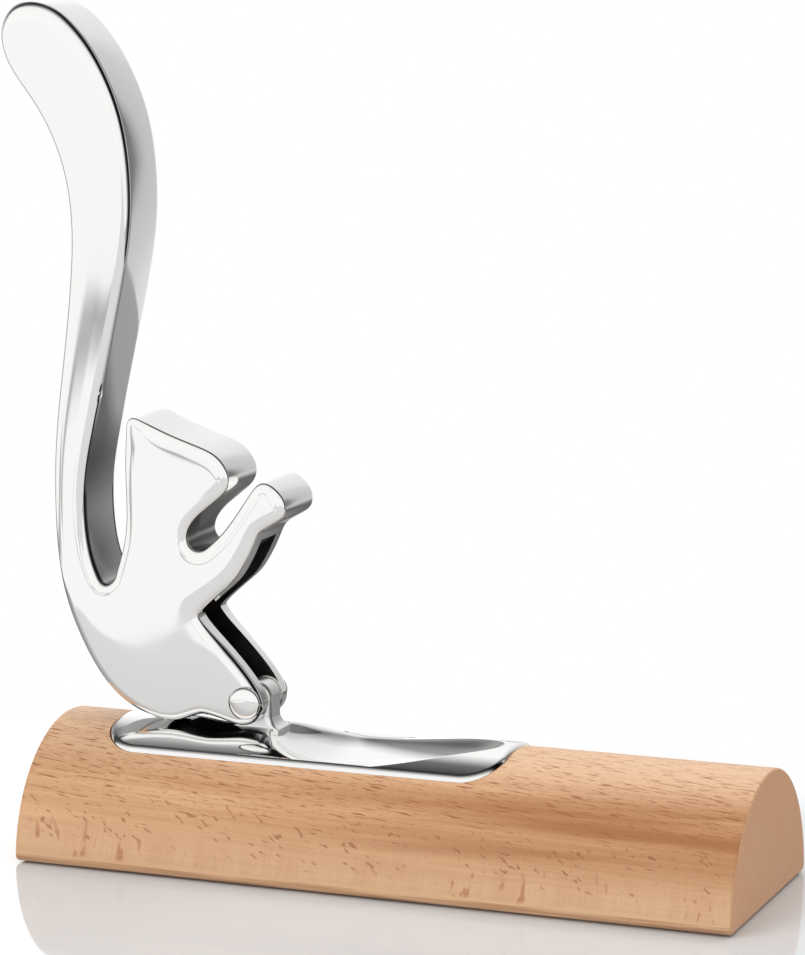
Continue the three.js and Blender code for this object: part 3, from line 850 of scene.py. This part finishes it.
class Nodes:
    """Adds shader nodes to the emptied node tree of a material or world in few words."""

    def __init__(self, owner):
        owner.use_nodes = True
        self.tree = owner.node_tree
        self.tree.nodes.clear()

    def add(self, kind, inputs=None, **settings):
        node = self.tree.nodes.new(kind)
        for name, value in settings.items():
            setattr(node, name, value)
        for socket, value in (inputs or {}).items():
            self.put(node.inputs[socket], value)
        return node

    def put(self, socket, value):
        if isinstance(value, bpy.types.NodeSocket):
            self.tree.links.new(value, socket)
        else:
            socket.default_value = value

    def math(self, operation, first, second=0.0):
        return self.add("ShaderNodeMath", {0: first, 1: second}, operation=operation).outputs[0]

    def plus(self, first, second):
        return self.math("ADD", first, second)

    def minus(self, first, second):
        return self.math("SUBTRACT", first, second)

    def times(self, first, second):
        return self.math("MULTIPLY", first, second)

    def absolute(self, value):
        return self.math("ABSOLUTE", value)

    def square(self, value):
        return self.math("POWER", value, 2.0)

    def larger(self, first, second):
        return self.math("MAXIMUM", first, second)

    def place(self, kind):
        return self.add("ShaderNodeTexCoord").outputs[kind]

    def parts(self, vector):
        return self.add("ShaderNodeSeparateXYZ", {0: vector}).outputs

    def joined(self, x, y, z):
        return self.add("ShaderNodeCombineXYZ", {0: x, 1: y, 2: z}).outputs[0]

    def stretched(self, vector, scale, rotation=(0.0, 0.0, 0.0)):
        values = {"Vector": vector, "Scale": scale, "Rotation": rotation}
        return self.add("ShaderNodeMapping", values).outputs[0]

    def noise(self, vector, scale, detail=2.0):
        values = {"Vector": vector, "Scale": scale, "Detail": detail}
        return self.add("ShaderNodeTexNoise", values).outputs["Fac"]

    def span(self, value, low, high, to_low=0.0, to_high=1.0, smooth=True):
        kind = "SMOOTHSTEP" if smooth else "LINEAR"
        values = {"Value": value, "From Min": low, "From Max": high, "To Min": to_low, "To Max": to_high}
        return self.add("ShaderNodeMapRange", values, interpolation_type=kind).outputs[0]

    def between(self, value, low, high, blur):
        """1 between two values and 0 beyond them."""
        above = self.span(value, low - blur, low + blur)
        return self.times(above, self.span(value, high - blur, high + blur, 1.0, 0.0))

    def ramp(self, value, stops, whole):
        """Reads a table of (place, brightness) pairs, in which the whole ramp is so many units long."""
        node = self.add("ShaderNodeValToRGB", {"Fac": value})
        ramp = node.color_ramp
        while len(ramp.elements) < len(stops):
            ramp.elements.new(1.0)
        for element, (position, grey) in zip(ramp.elements, stops):
            element.position = position / whole
            element.color = (grey, grey, grey, 1)
        return node.outputs[0]

    def mix(self, factor, first, second):
        return self.add("ShaderNodeMix", {0: factor, 6: first, 7: second}, data_type="RGBA").outputs[2]

    def shader(self, kind, inputs):
        return self.add(kind, inputs).outputs[0]

    def blend(self, factor, first, second):
        return self.shader("ShaderNodeMixShader", {0: factor, 1: first, 2: second})


def new_material(name):
    material = bpy.data.materials.new(name)
    nodes = Nodes(material)
    shader = nodes.add("ShaderNodeBsdfPrincipled")
    nodes.add("ShaderNodeOutputMaterial", {"Surface": shader.outputs[0]})
    return material, nodes, shader, nodes.place("Object")


def coat(nodes, shader, colour, rough, metallic=0.0, grain=None, bump=None):
    """Sets a material's colour, roughness and metal. A bump is a strength and a depth for its grain."""
    nodes.put(shader.inputs["Base Color"], colour)
    nodes.put(shader.inputs["Metallic"], metallic)
    nodes.put(shader.inputs["Roughness"], rough)
    if bump:
        raised = nodes.add("ShaderNodeBump", {"Strength": bump[0], "Distance": bump[1], "Height": grain})
        nodes.put(shader.inputs["Normal"], raised.outputs[0])


def hollow_shade_mask(nodes, place, hollows):
    """How strongly painted shade darkens the lever's hollows and makes them rougher, and 0 elsewhere."""
    axes = nodes.parts(place)
    through = nodes.absolute(axes[1])
    mask = 0.0
    for x, z, reach, flatter, shade_and_dull, off_middle in hollows:
        across = nodes.square(nodes.minus(axes[0], x))
        up = nodes.square(nodes.times(nodes.minus(axes[2], z), flatter))
        away = nodes.math("SQRT", nodes.plus(across, up))
        spot = nodes.span(away, reach, HOLLOW_FADE * reach, shade_and_dull, 0.0)
        spot = nodes.times(spot, nodes.between(through, *off_middle, HOLLOW_BLUR))
        mask = nodes.larger(mask, spot)
    return mask


def chrome(name, hollows=(), least_rough=CHROME_ROUGH):
    """Polished chrome plate with the faint polishing haze and swell of a buffed casting."""
    material, nodes, shader, place = new_material(name)
    haze = nodes.noise(place, *CHROME_HAZE)
    colour = nodes.mix(haze, *CHROME_COLOURS)
    rough = nodes.span(haze, *HAZE_SPAN, least_rough, least_rough + HAZE_ROUGH)
    # Painted shade: in the hollows the colour is darkened and the roughness raised.
    if hollows:
        mask = hollow_shade_mask(nodes, place, hollows)
        colour = nodes.mix(mask, colour, HOLLOW_SHADE_COLOUR)
        rough = nodes.plus(rough, nodes.times(mask, HOLLOW_ROUGH))
    coat(nodes, shader, colour, rough, 1.0, nodes.noise(place, *CHROME_SWELL), CHROME_BUMP)
    return material


def slot_wall_shade():
    """The slot's walls, coloured near black as painted shade for the inside of the slot, with a rough finish.
    """
    material, nodes, shader, place = new_material("slot_wall_shade")
    cloud = nodes.span(nodes.noise(place, *SLOT_SHADE_CLOUD), *SLOT_SHADE_CLOUD_SPAN)
    grain = nodes.noise(place, *RAW_GRAIN)
    coat(nodes, shader, nodes.mix(cloud, *SLOT_SHADE_COLOURS), RAW_ROUGH, RAW_METALLIC, grain, RAW_BUMP)
    return material


def mottled(name, colours, rough, count, bump=None, metallic=0.0, stretch=None):
    """A plain finish that varies between two colours, with its grain drawn out where it is stretched."""
    material, nodes, shader, place = new_material(name)
    marks = nodes.noise(nodes.stretched(place, stretch) if stretch else place, count)
    coat(nodes, shader, nodes.mix(marks, *colours), rough, metallic, marks, bump)
    return material


def unrolled(nodes, axes):
    """The log's round side laid flat: the way along the log, and the way round it from its rear edge."""
    turn = nodes.math("ARCTAN2", nodes.minus(axes[2], log_axis_z), axes[1])
    return axes[0], nodes.times(turn, log_radius)


def slanted_noise(nodes, flat, slant_deg, marks):
    """Noise on the log laid flat, in marks that run down to the right at a slant."""
    along, down = flat
    many_along, many_across, detail = marks
    slant = math.radians(slant_deg)
    ahead = nodes.plus(nodes.times(along, math.cos(slant)), nodes.times(down, math.sin(slant)))
    aside = nodes.minus(nodes.times(down, math.cos(slant)), nodes.times(along, math.sin(slant)))
    place = nodes.stretched(nodes.joined(ahead, aside, slant), (many_along, many_across, 1.0))
    return nodes.noise(place, 1.0, detail)


def beech_pores(nodes, height, flat):
    """Thin dark strokes with the grain: dense near the top, short and steep half way down the sides."""
    needed = nodes.span(height, *STROKES_NEEDED_SPAN, smooth=False)
    pores = 0.0
    for marks, strength in ((STROKES, 1.0), (FINE_STROKES, FINE_STRENGTH)):
        strokes = nodes.minus(slanted_noise(nodes, flat, STROKE_SLANT_DEG, marks), needed)
        pores = nodes.larger(pores, nodes.span(strokes, 0.0, STROKE_FADE, 0.0, strength))
    lenses = nodes.span(slanted_noise(nodes, flat, LENS_SLANT_DEG, LENSES), *LENS_SPAN)
    band = nodes.span(nodes.absolute(nodes.minus(height, LENS_HEIGHT)), *LENS_BAND_SPAN)
    return nodes.larger(pores, nodes.times(lenses, band))


def beech_rays(nodes, axes):
    """The reddish upright flecks low on the sides, where the rays are cut across, and a faint ripple."""
    bow = nodes.times(nodes.square(nodes.minus(axes[2], RAY_MIDDLE)), RAY_BOW)
    bowed = nodes.joined(nodes.plus(axes[0], bow), 0.0, axes[2])

    def marks(many_along, many_up, detail, *span):
        place = nodes.stretched(bowed, (many_along, 1.0, many_up))
        return nodes.span(nodes.noise(place, 1.0, detail), *span)

    strong = nodes.times(marks(*RAY_FLECKS), marks(*RAY_PATCHES))
    faint = nodes.plus(marks(*RAY_SHADE), marks(*RAY_RIPPLE))
    low = nodes.times(nodes.span(axes[2], *RAY_FOOT_SPAN), nodes.span(axes[2], *RAY_TOP_SPAN))
    return nodes.times(nodes.larger(strong, faint), low)


def beech_rings(nodes, axes):
    """The growth rings on the ends, about a heart that lies behind and below the log."""
    y = nodes.square(nodes.minus(axes[1], HEART_BEHIND))
    z = nodes.square(nodes.plus(axes[2], HEART_BELOW))
    sway = nodes.times(nodes.noise(nodes.joined(0.0, axes[1], axes[2]), RING_SWAYS), RING_SWAY)
    radius = nodes.plus(nodes.math("SQRT", nodes.plus(y, z)), sway)
    return nodes.span(nodes.math("SINE", nodes.times(radius, 2 * math.pi / RING_STEP)), -1.0, 1.0)


def beech():
    """Oiled beech: a pale tan with dark pores along the grain, ray flecks, and rings on the ends."""
    material, nodes, shader, place = new_material("beech")
    axes = nodes.parts(place)
    height = axes[2]
    flat = unrolled(nodes, axes)
    streaks = slanted_noise(nodes, flat, 0, STREAKS)
    lines = slanted_noise(nodes, flat, LINE_SLANT_DEG, LINES)
    colour = nodes.mix(nodes.span(streaks, *STREAK_SPAN), BEECH_DARK, BEECH_LIGHT)
    # Painted sheen: the last of these layers pales the top of the log.
    layers = [
        (slanted_noise(nodes, flat, 0, TONES), TONE_SPAN, BEECH_TONE), (lines, LINE_SPAN, BEECH_LINE),
        (height, LOW_PALE_SPAN, BEECH_LOW), (height, TOP_SHEEN_SPAN, BEECH_TOP_SHEEN),
    ]
    for value, span, layer in layers:
        colour = nodes.mix(nodes.span(value, *span), colour, layer)
    # Painted shade: a darker band along the streaks, which grows towards the right.
    band = nodes.span(nodes.absolute(nodes.minus(height, BAND_HEIGHT)), *BAND_SPAN)
    band = nodes.times(band, nodes.span(streaks, *BAND_STREAK_SPAN))
    band = nodes.times(band, nodes.span(axes[0], *BAND_GROWTH_SPAN))
    colour = nodes.mix(band, colour, BEECH_SHADE_BAND)

    low, high = log_box
    off_middle = nodes.absolute(nodes.minus(axes[0], (low.x + high.x) / 2))
    end_at = (high.x - low.x) / 2
    ends = nodes.span(off_middle, end_at - LOG_END_ROUND / 2, end_at - END_DEPTH)
    sides = nodes.minus(1.0, ends)
    pores = nodes.times(beech_pores(nodes, height, flat), PORE_STRENGTH)
    colour = nodes.mix(nodes.times(pores, sides), colour, BEECH_PORE)
    rays = nodes.times(beech_rays(nodes, axes), RAY_STRENGTH)
    colour = nodes.mix(nodes.times(rays, sides), colour, BEECH_RAY)
    # Painted shade on the foot's rounding, in streaks.
    foot_streaks = nodes.span(slanted_noise(nodes, flat, 0, FOOT_MARKS), *FOOT_MARKS_SPAN)
    colour = nodes.mix(nodes.times(nodes.span(height, *FOOT_SPAN), foot_streaks), colour, BEECH_FOOT_SHADE)

    end_colour = nodes.mix(beech_rings(nodes, axes), *RING_COLOURS)
    specks = nodes.span(nodes.noise(place, SPECKS), *SPECK_SPAN)
    colour = nodes.mix(ends, colour, nodes.mix(specks, end_colour, SPECK_COLOUR))
    coat(nodes, shader, colour, nodes.span(streaks, *STREAK_SPAN, *BEECH_ROUGH), 0.0, lines, BEECH_BUMP)
    return material


def dress_inner_nodes():
    finishes = {
        "lug_bush": mottled("bush_bronze", *BRONZE),
        "thrust_washer": mottled("washer_nylon", *NYLON),
        "tray_screw": mottled("screw_steel", *STEEL),
    }
    for node, piece in frame["nodes"].items():
        for start, material in finishes.items():
            if node.startswith(start):
                piece.data.materials.clear()
                piece.data.materials.append(material)


def make_camera():
    azimuth = math.radians(CAMERA_AZIMUTH_DEG)
    elevation = math.radians(CAMERA_ELEVATION_DEG)
    flat = math.cos(elevation)
    out = Vector((math.sin(azimuth) * flat, -math.cos(azimuth) * flat, math.sin(elevation)))
    data = bpy.data.cameras.new("camera")
    data.sensor_fit = "VERTICAL"
    data.sensor_height = SENSOR_MM
    data.lens = FOCAL_PX * SENSOR_MM / PHOTO_HEIGHT_PX
    data.clip_start = CLIP_START
    data.clip_end = CLIP_END
    camera = bpy.data.objects.new("camera", data)
    camera.location = CAMERA_TARGET + out * CAMERA_DISTANCE
    camera.rotation_euler = (-out).to_track_quat("-Z", "Y").to_euler()
    bpy.context.scene.collection.objects.link(camera)
    bpy.context.scene.camera = camera


def direction_share(nodes, axes):
    """How far round a direction is: 0 straight in front, then over the left, the back and the right to 1."""
    return nodes.span(nodes.math("ARCTAN2", axes[0], axes[1]), -math.pi, math.pi, smooth=False)


def side_light(nodes, axes):
    """How bright the studio is in mirrors, by direction from the press: dark behind it on the right."""
    return nodes.ramp(direction_share(nodes, axes), SIDE_LIGHT, FULL_TURN_DEG)


def window_light(nodes, axes):
    """How many times brighter the studio is in mirrors where the window is."""
    turn = nodes.times(direction_share(nodes, axes), FULL_TURN_DEG)
    height = nodes.math("DEGREES", nodes.math("ARCSINE", axes[2]))
    inside = nodes.times(nodes.between(turn, *WINDOW_TURN_DEG, WINDOW_BLUR_DEG),
                         nodes.between(height, *WINDOW_HEIGHT_DEG, WINDOW_BLUR_DEG))
    return nodes.span(inside, 0.0, 1.0, 1.0, WINDOW_LIGHT, smooth=False)


def painted_sheet_mask(nodes, across, away):
    """1 on the painted sheet that mirrors show under the press. Its front left corner is cut away."""
    def past(value, edge):
        return nodes.span(value, edge - SHEET_BLUR, edge + SHEET_BLUR)

    slanted = nodes.minus(across, nodes.times(away, SHEET_CUT_SLOPE))
    front = nodes.larger(past(away, SHEET_FRONT), past(slanted, SHEET_CUT))
    ends = nodes.times(front, nodes.minus(1.0, past(away, SHEET_BACK)))
    return nodes.times(ends, nodes.between(across, SHEET_LEFT, SHEET_RIGHT, SHEET_BLUR))


def painted_bench_edge(nodes, across, away):
    """A soft dark line, painted into the floor's glow in mirrors, where a bench would end, round its corner.
    """
    front = nodes.plus(nodes.minus(away, nodes.times(across, BENCH_FRONT_SLOPE)), BENCH_FRONT)
    side = nodes.plus(nodes.minus(across, nodes.times(away, BENCH_SIDE_SLOPE)), BENCH_SIDE)
    from_edge = nodes.absolute(nodes.math("MINIMUM", front, side))
    return nodes.span(from_edge, 0.0, BENCH_EDGE_BLUR, PAINTED_BENCH_EDGE_LIGHT, 1.0)


def far_from_log(nodes, plan):
    """0 on the floor about the log and 1 well away from it, which comes sooner behind the log."""
    low, high = log_box
    middle = (low + high) / 2
    behind = nodes.math("GREATER_THAN", plan[1], 0.0)
    sooner = nodes.span(behind, 0.0, 1.0, 1.0, FLOOR_BEHIND, smooth=False)
    squares = []
    for axis, faster in ((0, 1.0), (1, sooner)):
        off = nodes.minus(nodes.absolute(nodes.minus(plan[axis], middle[axis])), high[axis] - middle[axis])
        squares.append(nodes.square(nodes.larger(nodes.times(off, faster), 0.0)))
    return nodes.span(nodes.math("SQRT", nodes.plus(*squares)), FLOOR_NEAR, FLOOR_FAR)


def make_floor():
    """A pale glossy floor. In mirrors it glows with a painted reflection of a sheet under the press, and of
    the floor beyond.
    """
    skin = Skin()
    corners = np.array([(-1, -1), (1, -1), (1, 1), (-1, 1)]) * FLOOR_SIZE / 2
    skin.face(skin.ring(corners[:, 0], corners[:, 1], 0))
    material = bpy.data.materials.new("floor")
    nodes = Nodes(material)
    place = nodes.place("Object")
    plan = nodes.parts(place)
    photo_turn = (0.0, 0.0, -math.radians(CAMERA_AZIMUTH_DEG))
    across, away, _ = nodes.parts(nodes.stretched(place, (1.0, 1.0, 1.0), photo_turn))
    sheet = nodes.span(away, -SHEET_HALF, SHEET_HALF, smooth=False)
    sheet = nodes.ramp(sheet, PAINTED_SHEET_LIGHT, 2 * SHEET_HALF / MM)
    beyond = nodes.times(nodes.times(side_light(nodes, plan), FLOOR_BEYOND), painted_bench_edge(nodes, across, away))
    inside = painted_sheet_mask(nodes, across, away)
    mirrored = nodes.add("ShaderNodeMix", {0: inside, 2: beyond, 3: sheet}, data_type="FLOAT").outputs[0]
    lit = nodes.shader("ShaderNodeBsdfDiffuse", {"Color": FLOOR_COLOUR})
    gloss = nodes.shader("ShaderNodeBsdfGlossy", {"Color": FLOOR_SHINE, "Roughness": FLOOR_ROUGH})
    direct = nodes.shader("ShaderNodeAddShader", {0: lit, 1: gloss})
    white = nodes.shader("ShaderNodeEmission", {"Color": WHITE, "Strength": 1.0})
    # Painted reflection: mirrors see the floor glow with the painted sheet, bench edge and floor beyond.
    mirror = nodes.shader("ShaderNodeEmission", {"Color": FLOOR_TINT, "Strength": mirrored})
    path = nodes.add("ShaderNodeLightPath")
    direct = nodes.blend(far_from_log(nodes, plan), direct, white)
    seen = nodes.blend(path.outputs["Is Glossy Ray"], direct, mirror)
    nodes.add("ShaderNodeOutputMaterial", {"Surface": seen})
    skin.build("floor", [material])


def make_world():
    """A white studio. In mirrors it fades to a dark ceiling, and the right side is dark."""
    world = bpy.data.worlds.new("studio")
    bpy.context.scene.world = world
    nodes = Nodes(world)
    axes = nodes.parts(nodes.place("Generated"))
    over = nodes.span(nodes.math("ARCTAN2", axes[2], axes[1]), 0.0, math.pi, smooth=False)
    ceiling = nodes.ramp(over, CEILING_LIGHT, FULL_TURN_DEG / 2)
    mirrored = nodes.times(nodes.times(ceiling, side_light(nodes, axes)), window_light(nodes, axes))
    mirror = nodes.shader("ShaderNodeBackground", {"Color": STUDIO_TINT, "Strength": mirrored})
    fill = nodes.shader("ShaderNodeBackground", {"Color": WHITE, "Strength": FILL_LIGHT})
    white = nodes.shader("ShaderNodeBackground", {"Color": WHITE, "Strength": 1.0})
    path = nodes.add("ShaderNodeLightPath")
    seen = nodes.blend(path.outputs["Is Glossy Ray"], fill, mirror)
    seen = nodes.blend(path.outputs["Is Camera Ray"], seen, white)
    nodes.add("ShaderNodeOutputWorld", {"Surface": seen})


def make_lamp(name, place, size, watts):
    """A soft lamp that looks at the press and doesn't show in mirrors."""
    data = bpy.data.lights.new(name, "AREA")
    data.size = size
    data.energy = watts
    lamp = bpy.data.objects.new(name, data)
    lamp.location = place
    lamp.rotation_euler = (Vector((0, 0, hinge.z)) - Vector(place)).to_track_quat("-Z", "Y").to_euler()
    lamp.visible_glossy = False
    bpy.context.scene.collection.objects.link(lamp)


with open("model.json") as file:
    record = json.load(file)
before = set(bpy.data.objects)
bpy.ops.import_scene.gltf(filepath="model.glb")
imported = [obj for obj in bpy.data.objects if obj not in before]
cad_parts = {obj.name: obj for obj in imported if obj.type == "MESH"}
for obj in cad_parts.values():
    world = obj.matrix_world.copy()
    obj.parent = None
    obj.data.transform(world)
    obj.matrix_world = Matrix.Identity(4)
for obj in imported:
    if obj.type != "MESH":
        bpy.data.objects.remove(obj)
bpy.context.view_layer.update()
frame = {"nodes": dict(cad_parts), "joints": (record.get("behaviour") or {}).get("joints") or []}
hinge = Vector(frame["joints"][0]["pos_m"])
log_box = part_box("log_base")
log_radius = (log_box[1].y - log_box[0].y) / 2
log_axis_z = log_box[0].z
crown_radius = log_radius + TRAY_PROUD

make_camera()
make_world()
make_floor()
make_lamp("key_lamp", *KEY_LAMP)
make_lamp("top_lamp", *TOP_LAMP)
make_log()
make_tray()
make_squirrel()
make_pin()
make_pads()
dress_inner_nodes()

scene = bpy.context.scene
scene.view_settings.view_transform = "Standard"
